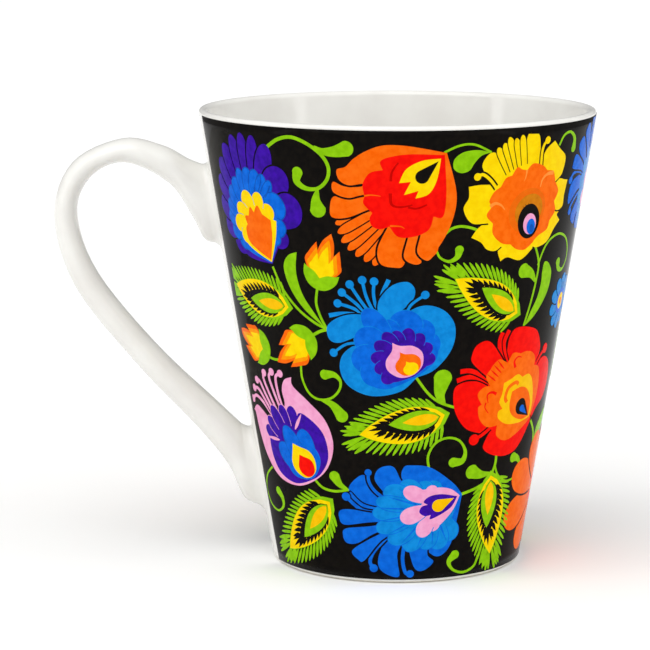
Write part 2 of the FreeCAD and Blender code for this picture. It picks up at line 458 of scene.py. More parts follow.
GROUND_THICKNESS = 0.1 * MM
GROUND_LIFT = 0.01 * MM  # holds the ground's inner skin off the wall
GROUND_COLUMNS, GROUND_ROWS = 300, 48
TRANSFER_GAP = 20.0 * MM
LOWER_OVERRUN = 0.5 * MM  # how far the black runs past the CAD sheet's lower edge
UPPER_OVERRUN = 0.45 * MM
ground_low = transfer_low - LOWER_OVERRUN
ground_high = transfer_high + UPPER_OVERRUN


def gap_turn(height):
    """Turn of the sheet's two upright edges from the middle of the handle, at one height."""
    return math.asin(TRANSFER_GAP / 2 / wall_radius(height))


def make_ground(enamel):
    """Black field of the transfer: a flat grid, wrapped round the wall and given its thickness."""
    deselect_all()
    bpy.ops.mesh.primitive_grid_add(x_subdivisions=GROUND_COLUMNS, y_subdivisions=GROUND_ROWS, size=2)
    sheet = bpy.context.object
    for vertex in sheet.data.vertices:
        across, up = vertex.co.x, (vertex.co.y + 1) / 2
        height = ground_low + (ground_high - ground_low) * up
        turn = TRANSFER_MIDDLE + across * (math.pi - gap_turn(height))
        vertex.co = on_wall(turn, height, GROUND_LIFT)
    bpy.ops.object.shade_smooth()
    solidify = sheet.modifiers.new("thickness", "SOLIDIFY")
    solidify.thickness = GROUND_THICKNESS
    solidify.offset = 1.0
    bpy.ops.object.modifier_apply(modifier="thickness")
    finish_piece(sheet, "transfer_ground", enamel)
    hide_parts("wrap_transfer")


# ---------------------------------------------------------------- drawing the transfer, flat, in millimetres

CURVE_STEPS = 6


def curve(points, closed=True, sharp=()):
    """Smooth line through given points; the points numbered in sharp stay corners."""
    count = len(points)
    line = []
    for i in range(count if closed else count - 1):
        a, b = points[i], points[(i + 1) % count]
        last = (i + 1) % count
        before = a if i in sharp or (not closed and i == 0) else points[i - 1]
        after = b if last in sharp or (not closed and last == count - 1) else points[(i + 2) % count]
        line += [between(before, a, b, after, step / CURVE_STEPS) for step in range(CURVE_STEPS)]
    return line if closed else line + [points[-1]]


def turned(outline, degrees=0.0, at=(0.0, 0.0), scale=1.0):
    """Outline turned counterclockwise, sized and carried to a place."""
    c, s = math.cos(math.radians(degrees)), math.sin(math.radians(degrees))
    return [(at[0] + scale * x * c - scale * y * s,
             at[1] + scale * x * s + scale * y * c) for x, y in outline]


def grown(outline, amount):
    """Outline moved outwards all round."""
    count = len(outline)
    area = sum(outline[i - 1][0] * outline[i][1] - outline[i][0] * outline[i - 1][1] for i in range(count))
    side = math.copysign(amount, area)
    line = []
    for i in range(count):
        dx = outline[(i + 1) % count][0] - outline[i - 1][0]
        dy = outline[(i + 1) % count][1] - outline[i - 1][1]
        size = math.hypot(dx, dy) or 1.0
        line.append((outline[i][0] + side * dy / size, outline[i][1] - side * dx / size))
    return line


def petal(length, width, belly=0.62, steps=8):
    """Petal along +Y: pointed at its foot, widest at the belly, round at the end."""
    right = []
    for i in range(1, steps):
        t = i / steps
        right.append((width / 2 * math.sin(math.pi / 2 * t) ** 1.2, length * belly * t))
    for i in range(steps):
        a = math.pi / 2 * i / steps
        right.append((width / 2 * math.cos(a), length * (belly + (1 - belly) * math.sin(a))))
    return [(0.0, 0.0)] + right + [(0.0, length)] + [(-x, y) for x, y in reversed(right)]


def lens(length, width, bow=0.0, belly=0.42, steps=12):
    """Leaf along +Y, pointed at both ends; bow bends its far end sideways."""
    right = []
    for i in range(1, steps):
        t = i / steps
        bulge = math.sin(math.pi * t ** (math.log(0.5) / math.log(belly))) ** 0.85
        right.append((width / 2 * bulge, length * t))
    line = [(0.0, 0.0)] + right + [(0.0, length)] + [(-x, y) for x, y in reversed(right)]
    return [(x + bow * (y / length) ** 2, y) for x, y in line]


def drop(length, width):
    """Drop along +Y: a pointed foot and a round head."""
    steps = 16
    head = width / 2
    middle = length - head
    side = math.acos(head / middle)
    sweep = 2 * math.pi - 2 * side
    return [(0.0, 0.0)] + [
        (head * math.cos(side - math.pi / 2 + sweep * i / steps),
         middle + head * math.sin(side - math.pi / 2 + sweep * i / steps)) for i in range(steps + 1)]


def oval(width, height, at=(0.0, 0.0), steps=24):
    return [(at[0] + width / 2 * math.cos(2 * math.pi * i / steps),
             at[1] + height / 2 * math.sin(2 * math.pi * i / steps)) for i in range(steps)]


def stroke(points, start, end, late=0.0, round_end=False):
    """Brush stroke along a smooth line, from one width to another; late is where it starts to change."""
    line = curve(points, closed=False)
    left, right = [], []
    last = len(line) - 1
    for i, (x, y) in enumerate(line):
        ahead, behind = line[min(i + 1, last)], line[max(i - 1, 0)]
        dx, dy = ahead[0] - behind[0], ahead[1] - behind[1]
        size = math.hypot(dx, dy) or 1.0
        swell = max(0.0, (i / last - late) / (1 - late)) ** (1.6 if late else 1.0)
        half = (start + (end - start) * swell) / 2
        left.append((x - dy / size * half, y + dx / size * half))
        right.append((x + dy / size * half, y - dx / size * half))
    if round_end:
        ahead = math.atan2(dy, dx)
        bends = [ahead + math.pi * (0.5 - i / 12) for i in range(1, 12)]
        left += [(x + half * math.cos(bend), y + half * math.sin(bend)) for bend in bends]
    return left + right[::-1]


def patch(ink, points, sharp=()):
    """One ink inside a smooth closed line."""
    return ink, curve(points, sharp=sharp)


def outlined(ink, outline, gap=0.4, gap_ink="ground"):
    """Painted shape with a fine line left round it."""
    return [(gap_ink, grown(outline, gap)), (ink, outline)]


def fan(ink, centre, petals, belly=0.62, gap=0.4, gap_ink="ground"):
    """Petals of one ink round a centre, each as (direction clockwise from +Y, reach, width)."""
    art = []
    for way, reach, width in petals:
        art += outlined(ink, turned(petal(reach, width, belly), -way, centre), gap, gap_ink)
    return art


def stamen(ink, points, hair=0.7, knob=1.9):
    """Curved hair that ends in a round knob, with a fine line left round it."""
    line, head = stroke(points, hair, hair), oval(knob, knob, points[-1], 14)
    return [("ground", grown(line, 0.4)), ("ground", grown(head, 0.3)), (ink, line), (ink, head)]


# ---------------------------------------------------------------- the motifs, each from its foot upwards

def feather_leaf():
    """Peacock-eye leaf: green fringe, yellow ring, serrated dark eye and a two-tone core."""
    spines, spikes = 16, 9
    art = []
    for side in (-1, 1):
        for i in range(spines):
            t = (i + 0.5) / spines
            edge = 4.0 * math.sin(math.pi * (0.05 + 0.95 * t) ** 0.8) ** 0.85
            at = (side * edge * 0.8 + 2.0 * (1 - (1 - t) ** 2), 1.6 + 18.2 * t)
            art.append(("lime", turned(petal(4.2 + 1.5 * t, 0.74, 0.5, 3), -side * (66 - 50 * t), at)))
    for way, x, reach in ((-24, 0.3, 5.2), (-14, 0.8, 6.2), (-4, 1.4, 7.0), (6, 2.3, 6.0), (16, 2.9, 4.8),
                          (27, 3.3, 3.8)):
        art.append(("lime", turned(petal(reach, 0.9, 0.5, 3), -way, (x, 18.4))))
    art.append(("lime", turned(lens(21.0, 8.5, 0.5, 0.42), -4.8)))
    art.append(("yellow", turned(lens(19.4, 8.2, 0.4, 0.42), -5, (0.1, 1.2))))
    art.append(("ground", turned(lens(13.6, 5.0, 0.3, 0.40), -7, (0.2, 2.2))))
    for side in (-1, 1):
        for i in range(spikes):
            t = (i + 0.5) / spikes
            edge = 2.3 * math.sin(math.pi * (0.1 + 0.88 * t) ** 0.8) ** 0.85
            at = (side * edge * 0.85 + 0.3 + 1.6 * t, 3.4 + 11.4 * t)
            art.append(("ground", turned(lens(3.0, 1.1, side * 0.2, 0.3, 4), -side * (48 - 34 * t) - 4, at)))
    for way, x, reach in ((-2, 1.6, 3.6), (8, 2.2, 4.4), (18, 2.7, 3.4)):
        art.append(("ground", turned(lens(reach, 0.9, 0.0, 0.3, 4), -way + 4, (x, 14.0))))
    art.append(("lime", turned(lens(11.4, 4.6, 0.0, 0.42), -12, (0.2, 2.4))))
    art.append(("yellow_deep", turned(lens(8.0, 2.5, 0.0, 0.42), -12, (0.3, 2.7))))
    return art


def bud():
    """Flame bud in a green cup."""
    flame = [(0, 1.5), (-4.3, 5.6), (-3.9, 8.2), (-2.7, 10.8), (-2.0, 9.0), (-1.3, 11.6), (0.2, 13.7),
             (1.4, 11.4), (1.9, 8.8), (2.9, 10.4), (3.9, 7.6), (4.1, 5.4)]
    heart = [(0, 2.4), (-3.0, 4.8), (-2.7, 6.4), (-1.9, 8.4), (-1.3, 7.0), (-0.8, 9.0), (0.1, 10.6),
             (0.7, 8.8), (1.2, 6.8), (1.9, 8.2), (2.5, 6.2), (2.7, 4.6)]
    cup = [(-4.4, 4.9), (-3.4, 4.5), (-1.6, 4.0), (-0.1, 2.9), (1.5, 4.0), (3.2, 4.4), (4.2, 4.8),
           (3.9, 2.7), (2.2, 0.8), (0, 0.2), (-2.3, 0.8), (-4.0, 2.7)]
    glow = [(0, 2.0), (-3.6, 5.2), (-3.3, 7.3), (-2.3, 9.7), (-1.7, 8.0), (-1.0, 10.3), (0.1, 12.2),
            (1.0, 10.0), (1.6, 7.8), (2.4, 9.4), (3.2, 6.9), (3.4, 5.0)]
    return [patch("orange", flame, (3, 4, 6, 8, 9)),
            patch("gold", glow, (3, 4, 6, 8, 9)),
            patch("yellow", heart, (3, 4, 6, 8, 9)),
            patch("lime", cup, (0, 3, 6))]


def violet_fan():
    """Fan in four rings: violet, blue, yellow and orange."""
    art = fan("violet", (-2.4, 9.5), (
        (122, 9.6, 4.6), (-122, 11.5, 6.4), (-97, 14.0, 6.0), (-76, 15.4, 6.0), (-57, 17.0, 5.6),
        (-41, 18.2, 5.4), (-27, 19.4, 4.8), (-14, 20.0, 4.2), (-3, 20.0, 3.8), (8, 19.6, 3.8),
        (21, 18.6, 5.0), (41, 15.4, 7.4), (76, 13.6, 8.0)), 0.74)
    art.append(patch("violet", [(0, 0), (-8, 1.6), (-11, 6), (-10, 14), (-3, 17.6), (3, 15), (5, 8)], (0,)))
    art += fan("royal", (-2.6, 9.0), (
        (-124, 8.8, 4.6), (-102, 10.4, 4.4), (-83, 11.2, 4.0), (-67, 11.4, 4.2), (-49, 11.8, 4.4),
        (-33, 12.0, 4.0), (-18, 12.9, 3.2), (-4, 12.6, 3.8), (9, 12.3, 3.8), (21, 11.8, 3.2),
        (33, 11.4, 2.6), (58, 10.2, 6.4), (98, 8.4, 4.2), (124, 7.4, 3.2)), 0.74, 0.25, "royal_deep")
    art.append(patch("royal", [(-0.1, 0.2), (-8.6, 3.6), (-9.4, 9), (-6, 15), (-1, 16), (3, 12.6), (4.2, 8),
                               (3, 5)], (0,)))
    art += [("royal_deep", stroke([(-0.4, 16.4), (0.8, 18.2), (1.2, 20.0)], 0.25, 0.4)),
            ("royal_deep", stroke([(1.6, 15.0), (3.0, 16.8), (3.6, 17.6)], 0.3, 0.5))]
    art += fan("yellow", (-3.0, 8.5), ((54, 7.3, 4.3), (17, 8.0, 3.8), (-18, 8.4, 4.2), (-52, 7.7, 3.8),
                                       (-85, 8.1, 4.2), (-117, 6.5, 4.0)), 0.7, 0.12, "royal")
    art.append(patch("yellow", [(0, 0.4), (-7.6, 4.6), (-8.2, 9), (-5, 12.8), (-0.4, 12.8), (2.2, 10.4),
                                (3.6, 9.7), (2.6, 6)], (0, 6)))
    flame = [(-0.1, 0.9), (-6.2, 4.6), (-7.0, 7.6), (-6.2, 8.8), (-6.6, 10.6), (-5.2, 10.8), (-4.2, 12.8),
             (-3.1, 11.6), (-1.6, 13.2), (-0.4, 11.2), (1.9, 9.9), (1.5, 6)]
    art.append(patch("orange", flame, (0, 3, 5, 7, 9, 10)))
    return art


def orange_fan():
    """Open fan with fine spokes at its crown and a red heart."""
    left = ([(-3, 14), (-5.0, 18.6), (-7.4, 23.4), (-10.4, 25.2), (-12.8, 23.6), (-13.8, 21.4), (-10, 17),
             (-6, 12)],
            [(-5, 12), (-9.4, 16.6), (-12.4, 20.3), (-15.0, 19.8), (-15.8, 18.2), (-13.4, 17.0), (-8, 11)],
            [(-6, 10), (-10.5, 14), (-13.4, 17.4), (-16.2, 17.2), (-16.5, 15.6), (-15.6, 13.2), (-10, 9)])
    right = ([(-1, 14), (0.6, 20), (1.8, 24.4), (3.8, 27.2), (5.8, 26.2), (7.2, 24.0), (5.2, 21.6),
              (3.0, 14)],
             [(1, 13), (3.8, 18.6), (5.2, 21.6), (8.0, 23.4), (9.8, 22.0), (7.6, 20.6), (5.4, 17.6),
              (4, 13)],
             [(2, 12), (5.6, 16.8), (7.2, 19.6), (9.4, 20.6), (11.4, 19.6), (10.8, 17.6), (11.0, 14),
              (8, 10)])
    art = fan("orange", (-2.0, 8.0), ((12.2, 20.0, 1.9), (-23, 20.2, 2.2), (-17.2, 20.5, 2.1),
                                      (-11.1, 20.8, 2.0), (-5.2, 21.0, 2.0), (0.8, 21.0, 2.0),
                                      (6.6, 20.5, 2.0)), 0.86, 0.3)
    for shape in left + right:
        art += outlined("orange", curve(shape), 0.45)
    art.append(patch("orange", [(-0.6, -1.2), (-9, 2.8), (-13.2, 7.4), (-15.5, 12.6), (-15.0, 13.6),
                                (-10.6, 12.6), (0, 15), (7.4, 15), (10.4, 15.0), (11.1, 13.6), (10, 9),
                                (7.4, 5.4), (3.6, 2.0)], (0,)))
    heart = [(-0.6, -0.6), (-7.4, 4.4), (-11.0, 8.2), (-9.6, 9.8), (-11.2, 12.4), (-10.4, 15.6),
             (-8.2, 18.4), (-5.2, 18.4), (-4.4, 20.4), (-2.8, 21.3), (-1.2, 20.6), (-0.6, 19.4), (2.2, 19.6),
             (3.2, 18.4), (5.6, 17.0), (6.6, 14.2), (5.4, 11.6), (7.2, 10.8), (6.6, 8.4), (4.2, 4.6)]
    art.append(patch("red", heart, (0, 3, 7, 11, 13, 16)))
    art += [("red_deep", stroke([(-4.6, 11.6), (-3.2, 14.0), (-1.6, 14.9), (0.4, 13.6)], 0.3, 0.7)),
            ("red_deep", stroke([(-6.6, 9.2), (-5.8, 11.4), (-4.4, 12.6)], 0.3, 0.5)),
            ("red_deep", stroke([(4.6, 8.0), (3.8, 10.4), (2.4, 11.8)], 0.3, 0.6)),
            ("orange", stroke([(-5.2, 18.2), (-6.6, 16.6), (-7.6, 16.2)], 0.4, 0.1)),
            ("orange", stroke([(3.4, 18.4), (2.6, 17.0), (1.2, 15.6)], 0.4, 0.1))]
    crown = [(-0.7, 0.5), (-3.8, 4.2), (-5.0, 7.4), (-3.9, 10.2), (-3.0, 8.6), (-1.7, 11.6), (-0.4, 8.6),
             (1.0, 10.7), (2.4, 7.6), (1.6, 3.8)]
    art.append(patch("yellow", crown, (0, 3, 4, 5, 6, 7)))
    art.append(("ground", turned(drop(6.4, 3.0), 4, (-0.8, 1.2))))
    return art


def yellow_rose():
    """Round yellow bloom with an orange heart and a dark eye."""
    petals = (
        ([(-7.8, -9.4), (-7.9, -12.9), (-6.0, -12.5), (-2.6, -14.2), (0.8, -13.0), (2.0, -11.6), (0, -8)],
         (1,)),
        ([(1.6, -11.8), (6.0, -13.0), (9.2, -10.8), (11.6, -9.6), (10.4, -7.9), (11.0, -7.0), (8, -4)],
         (3,)),
        ([(9.6, -6.3), (12.7, -6.7), (13.4, -4.2), (14.8, -1.1), (13.4, -0.5), (10.8, 0.5), (7, -1)], (3,)),
        ([(-8, -3.2), (-12.2, -3.7), (-14.6, -5.8), (-12.4, -7.4), (-11.0, -9.4), (-8.4, -10.0), (-5, -7)],
         (2,)),
        ([(-6.4, 3.6), (-10.6, 5.4), (-14.2, 5.7), (-14.4, 3.2), (-15.8, 1.0), (-14.6, -2.2), (-12, -3.2),
          (-7, -3)], (2,)),
        ([(-3.4, 5.4), (-6.4, 11.0), (-8.6, 12.1), (-10.7, 9.8), (-9.4, 6.6), (-6.6, 2.6)], ()),
        ([(4.0, 3.4), (6.2, 8.4), (9.6, 10.0), (11.4, 7.6), (13.6, 5.0), (12.8, 2.2), (11.2, 0.8), (6, 0)],
         (2,)),
        ([(0.8, 5.0), (0.8, 12.0), (1.5, 14.0), (4.4, 13.2), (4.8, 11.4), (4.2, 5.0)], (2, 3)))
    art = []
    for points, sharp in petals:
        art += outlined("yellow", curve(points, sharp=sharp), 0.35)
    art += fan("yellow", (0, -4.5), ((-20.8, 18.6, 1.8), (-15.4, 18.7, 1.8), (-10.6, 19.4, 1.7),
                                     (-5.8, 18.5, 1.6), (-0.4, 18.7, 1.6)), 0.9, 0.26)
    art += stamen("yellow", [(-7.0, 2.6), (-8.8, 5.8), (-10.6, 7.7), (-12.0, 7.5)], 0.7, 1.7)
    art += stamen("yellow", [(4.6, 4.0), (5.2, 8.4), (6.0, 10.2), (7.2, 10.9)], 0.7, 1.7)
    art.append(("yellow", oval(20, 20, (-0.4, -2.6), 40)))
    heart = [(-2.0, 7.3), (-3.6, 5.8), (-5.2, 5.6), (-6.6, 4.0), (-8.4, 3.2), (-9.7, 1.4), (-8.9, 0.2),
             (-10.6, -1.6), (-9.2, -3.8), (-9.4, -6.2), (-7.4, -8.8), (-5.0, -9.8), (-3.4, -11.4),
             (-1.0, -12.2), (1.4, -11.4), (3.2, -10.4), (6.4, -9.9), (7.4, -8.2), (9.6, -6.6), (9.2, -4.2),
             (10.8, -2.2), (9.6, 0.4), (9.0, 3.0), (6.8, 4.0), (5.4, 5.6), (2.6, 6.9), (0.6, 5.9),
             (-0.8, 6.5)]
    art.append(patch("orange", heart, (1, 3, 6, 8, 11, 14, 17, 19, 21, 23, 26)))
    art += [("orange_light", stroke([(-9.6, 0.2), (-8.2, 0.6), (-6.8, -0.2), (-6.0, -1.4)], 0.9, 0.2)),
            ("orange_light", stroke([(4.4, 0.8), (5.2, 2.4), (7.0, 3.1), (9.0, 2.7)], 0.2, 1.0)),
            ("orange_light", stroke([(0.6, 6.0), (0.2, 4.6), (-0.4, 3.6)], 0.6, 0.1))]
    art += [("orange_brown", oval(11.0, 10.0, (0.4, -3.4))), ("amber", oval(8.4, 7.6, (0.8, -3.6)))]
    art += [("ground", turned(lens(reach, 0.8, 0.0, 0.3, 4), -way, (0.5, -5.6)))
            for way, reach in ((-34, 3.6), (-22, 3.9), (-10, 4.2), (2, 4.1), (14, 3.8), (28, 3.4))]
    art += [("ground", oval(6.7, 8.0, (0.6, -6.0))), ("pink", oval(3.9, 4.8, (0.8, -6.7))),
            ("royal", oval(2.7, 3.6, (1.1, -7.4))), ("royal_deep", oval(1.3, 1.9, (1.3, -7.9), 14))]
    return art


def blue_rose():
    """Broad blue bloom with a crown of stamens and an onion-shaped heart."""
    art = []
    for points in ([(-1.4, 16.6), (-4.4, 18.6), (-7.4, 20.0), (-10.0, 20.6)], [(0.8, 16.6), (3.0, 19.8),
                                                                               (6.0, 22.2)]):
        art += outlined("sky", stroke(points, 0.7, 1.0), 0.35)
    for points in ([(-2.2, 16.6), (-4.0, 19.8), (-6.8, 22.3)], [(-1.8, 16.8), (-3.0, 20.6), (-4.7, 24.1)],
                   [(0.2, 16.8), (1.4, 20.6), (3.0, 23.3)], [(-0.4, 17.0), (-0.2, 21.0), (0.8, 24.7)],
                   [(-1.2, 17.0), (-1.8, 21.0), (-2.2, 25.0)]):
        art += stamen("sky", points)
    for points in ([(-1.6, 16.0), (-4.0, 18.4), (-8.0, 19.4), (-11.6, 18.6), (-12.6, 15.8), (-10.8, 14.2),
                    (-6.4, 13.9), (-2.6, 13.4)],
                   [(0.2, 16.0), (1.8, 19.0), (5.8, 20.7), (9.2, 19.9), (9.9, 17.6), (8.2, 15.6),
                    (4.6, 14.6), (1.0, 13.4)]):
        art += outlined("sky", curve(points), 0.35)
    art += [patch("sky", [(0.6, -0.4), (-4, -1.5), (-10, 0.4), (-13.6, 4.4), (-13.8, 8.4), (-11.6, 11.4),
                          (-7.6, 12.4), (-2.0, 12.0)], (0,)),
            patch("sky", [(0.6, -0.4), (5, -0.9), (10.4, 1.2), (13.4, 5.2), (13.2, 9.6), (10.4, 13.0),
                          (6.4, 13.8), (2.0, 12.4)], (0,))]
    art += stamen("sky", [(-6.6, 12.4), (-9.6, 13.3), (-13.2, 12.7)], 0.6)
    art += stamen("sky", [(5.4, 13.4), (7.6, 14.9), (11.2, 15.3)], 0.6)
    art += fan("royal", (-0.2, 6.0), ((98, 9.4, 6.0), (72, 10.0, 6.2), (40, 10.4, 7.4), (8, 8.6, 4.6),
                                      (-8, 12.8, 5.0), (-36, 10.6, 6.6), (-70, 10.6, 6.6),
                                      (-100, 10.0, 6.4)), 0.68, 0.12, "sky")
    art.append(patch("royal", [(0.4, -0.3), (-6.4, 0.4), (-9.4, 4.0), (-7.4, 10), (-1, 12), (5.6, 10.8),
                               (8.2, 5.0), (6, 0.8)], (0,)))
    art += fan("violet", (0.1, 4.6), ((118, 7.0, 3.4), (92, 7.0, 3.4), (64, 7.2, 3.4), (38, 7.4, 3.4),
                                      (13, 7.0, 3.2), (-6, 7.6, 3.2), (-30, 7.4, 3.4), (-58, 7.2, 3.4),
                                      (-84, 6.8, 3.4), (-112, 7.0, 3.4)), 0.66, 0.12, "royal")
    art.append(patch("violet", [(0.3, 0.1), (-4.8, 1.4), (-5.2, 5.4), (-2.4, 8.6), (2.4, 8.6), (5.4, 5.4),
                                (5.0, 1.4)], (0,)))
    onion = curve([(-0.2, 9.2), (-1.2, 7.6), (-3.4, 6.2), (-4.1, 4.0), (-2.6, 1.4), (0.2, 0.5), (3.0, 1.4),
                   (4.4, 4.0), (3.4, 6.4), (1.0, 7.8)], sharp=(0,))
    art += [("pink", onion), ("orange", turned(onion, 0, (0.35, 0.3), 0.68)), ("yellow", turned(onion, 0,
                                                                                                (0.45, 0.35),
                                                                                                0.4))]
    return art


def tulip():
    """Pink-lipped cup with hooked stamens, violet and blue petals and a flame-shaped heart."""
    art = []
    for points in ([(-2.6, 16.0), (-4.6, 21.0), (-7.0, 23.6), (-9.6, 23.6)], [(-2.2, 16.0), (-3.6, 21.6),
                                                                              (-4.8, 24.6), (-6.8, 25.4)],
                   [(1.4, 16.0), (2.4, 20.8), (4.0, 24.4), (6.0, 24.6)], [(0.8, 16.0), (1.2, 22.0),
                                                                          (1.8, 25.4), (3.4, 26.0)],
                   [(-1.6, 16.4), (-2.4, 22.6), (-2.8, 25.8), (-4.0, 26.5)], [(-0.6, 16.6), (-0.8, 23.0),
                                                                              (-0.6, 26.0), (0.4, 26.8)]):
        art += stamen("pink", points, 0.75, 1.8)
    shell = [(0, 0.1), (-5.4, 1.0), (-10.2, 4.8), (-12.2, 10.6), (-11.9, 16.4), (-10.8, 20.6), (-11.4, 21.4),
             (-8.6, 21.8), (-6.6, 20.0), (-4.6, 17.4), (-1, 16.6), (2.8, 18.0), (4.2, 21.2), (6.4, 22.9),
             (8.9, 22.6), (8.0, 20.8), (9.8, 16.2), (11.2, 10.6), (9.6, 5.0), (5.2, 1.2)]
    art.append(patch("pink", shell, (6, 14)))
    art += fan("violet", (-0.8, 8.0), ((-40, 10.8, 3.4), (30, 10.6, 3.4), (-24, 10.9, 3.0), (12, 10.9, 3.0),
                                       (-6, 11.7, 3.2)), 0.74, 0.14, "pink")
    art.append(patch("violet", [(0, 0.5), (-5.4, 1.6), (-9.0, 5.4), (-9.4, 10.0), (-7.4, 13.9), (-5.0, 12.2),
                                (-1, 15), (2.6, 12.4), (5.8, 14.9), (8.2, 11.6), (8.8, 7.6), (6.8, 3.2),
                                (3.4, 1.0)], (5, 7)))
    art += [("pink", turned(lens(4.8, 0.8), 62, (-4.2, 11.9))), ("pink", turned(lens(4.8, 0.8), -60,
                                                                                (2.2, 12.1)))]
    art += outlined("royal", turned(petal(11.3, 5.0), 25, (-0.2, 1.0)), 0.15, "royal_deep")
    art += outlined("royal", turned(petal(11.3, 5.0), -23, (-0.2, 1.0)), 0.15, "royal_deep")
    art += outlined("royal", turned(petal(13.2, 4.6), 0, (-0.5, 0.9)), 0.15, "royal_deep")
    art.append(patch("royal", [(0, 0.7), (-4.4, 3.0), (-5.0, 6.4), (-2.4, 8.4), (2.4, 8.4), (4.8, 6.4),
                               (4.2, 3.0)]))
    bulb = curve([(-0.5, 9.8), (-1.8, 8.2), (-3.3, 6.4), (-3.6, 4.2), (-2.2, 1.9), (-0.2, 1.2), (2.0, 2.0),
                  (3.2, 4.4), (2.8, 6.6), (0.9, 8.4)], sharp=(0,))
    art += [("yellow", bulb), ("red", turned(bulb, 0, (0.1, 0.5), 0.65))]
    return art


def red_rose():
    """Full red bloom with an orange ruff, a yellow collar and a dark drop at its heart."""
    art = []
    for points in ([(0, 0), (3.0, -1.6), (7.0, -3.4), (10.6, -2.6), (13.0, 1.0), (13.0, 4.6), (11.4, 6.9),
                    (8, 8)],
                   [(-8, 9.6), (-12.4, 9.4), (-13.7, 8.0), (-13.0, 4.6), (-11.0, 1.2), (-8.0, -1.0),
                    (-3.0, -1.3), (0, -0.4), (0, 6)],
                   [(4.0, 17.0), (7.0, 20.6), (9.4, 21.8), (11.4, 21.4), (13.4, 18.6), (14.8, 14.6),
                    (13.8, 11.0), (12.0, 9.0), (8, 8.6)],
                   [(-1.8, 18.0), (-4.0, 22.4), (-6.4, 24.6), (-8.6, 24.5), (-11.6, 21.0), (-12.9, 16.4),
                    (-11.8, 12.6), (-10.0, 10.4), (-5, 11)]):
        art += outlined("red", curve(points), 0.35)
    for points in ([(3.0, 15.0), (5.0, 19.6), (7.0, 22.2), (9.8, 23.0)], [(2.6, 15.4), (4.4, 20.6),
                                                                          (6.4, 23.4), (8.4, 24.2)],
                   [(-1.4, 16.0), (-2.4, 21.0), (-4.0, 24.0), (-6.4, 25.7)], [(-1.0, 16.0), (-1.8, 21.6),
                                                                              (-2.8, 24.8), (-4.4, 26.6)]):
        art += outlined("red", stroke(points, 1.0, 1.1), 0.32)
    art += outlined("red", curve([(-0.6, 16.0), (-1.3, 25.0), (0.2, 27.2), (2.6, 27.7), (4.8, 26.0),
                                  (4.6, 22.4), (2.8, 16.0)]), 0.4)
    art += stamen("red", [(-8.6, 10.4), (-11.4, 11.2), (-13.5, 12.2)], 0.8, 2.6)
    art += stamen("red", [(8.6, 8.0), (11.6, 7.8), (14.0, 6.9)], 0.8, 2.4)
    art.append(("red", oval(19, 19, (0.2, 9.4), 40)))
    ruff = [(-0.4, -0.4), (-5.6, 2.0), (-8.8, 4.4), (-9.4, 7.6), (-7.6, 9.3), (-9.5, 11.6), (-9.3, 14.6),
            (-7.7, 16.8), (-6.6, 16.6), (-5.6, 19.2), (-3.4, 19.1), (-2.3, 17.9), (-1.4, 20.4), (0.4, 20.7),
            (2.0, 20.8), (3.6, 20.2), (4.3, 17.6), (6.8, 17.8), (8.0, 15.6), (9.4, 14.2), (10.4, 12.0),
            (10.2, 9.8), (8.8, 8.6), (9.5, 6.0), (7.4, 3.0), (4.0, 0.8)]
    art.append(patch("orange", ruff, (0, 4, 8, 11, 16, 18, 22)))
    art += [("red", turned(lens(3.4, 0.4), way, (x, 17.4))) for x, way in ((-0.6, 4), (0.5, 1), (1.6, -2),
                                                                           (2.7, -6))]
    art += [("red", stroke([(-5.4, 15.4), (-4.2, 17.0), (-3.0, 16.4), (-2.6, 15.0)], 0.2, 0.8)),
            ("red", stroke([(-7.0, 13.6), (-6.6, 15.4), (-5.6, 16.0)], 0.2, 0.4)),
            ("red", stroke([(4.8, 14.6), (5.6, 16.0), (7.0, 15.8), (7.6, 14.6)], 0.8, 0.2))]
    collar = [(-0.4, 0.3), (-3.4, 3.2), (-5.9, 7.0), (-6.3, 10.2), (-5.2, 11.4), (-4.0, 10.8), (-3.5, 12.8),
              (-1.6, 13.6), (0.4, 15.0), (2.2, 13.8), (4.2, 12.6), (4.6, 10.6), (6.2, 9.2), (6.3, 7.0),
              (4.6, 4.0), (2.2, 1.4)]
    art.append(patch("yellow_deep", collar, (0, 5, 8, 11)))
    art.append(("orange", stroke([(-2.2, 10.8), (-1.8, 12.0), (0.3, 12.9), (2.5, 11.8), (2.7, 10.6)], 0.9,
                                 0.9)))
    art.append(patch("orange", [(-0.4, 0.8), (-2.6, 3.2), (-3.5, 6.8), (-2.4, 9.4), (0.4, 11.2), (2.8, 9.2),
                                (3.6, 6.4), (2.4, 3.0)], (0, 4)))
    art += [("ground", turned(drop(6.6, 3.8), 0, (-0.4, 0.9))), ("royal", turned(drop(3.6, 1.6), 0,
                                                                                 (-0.5, 2.0)))]
    return art


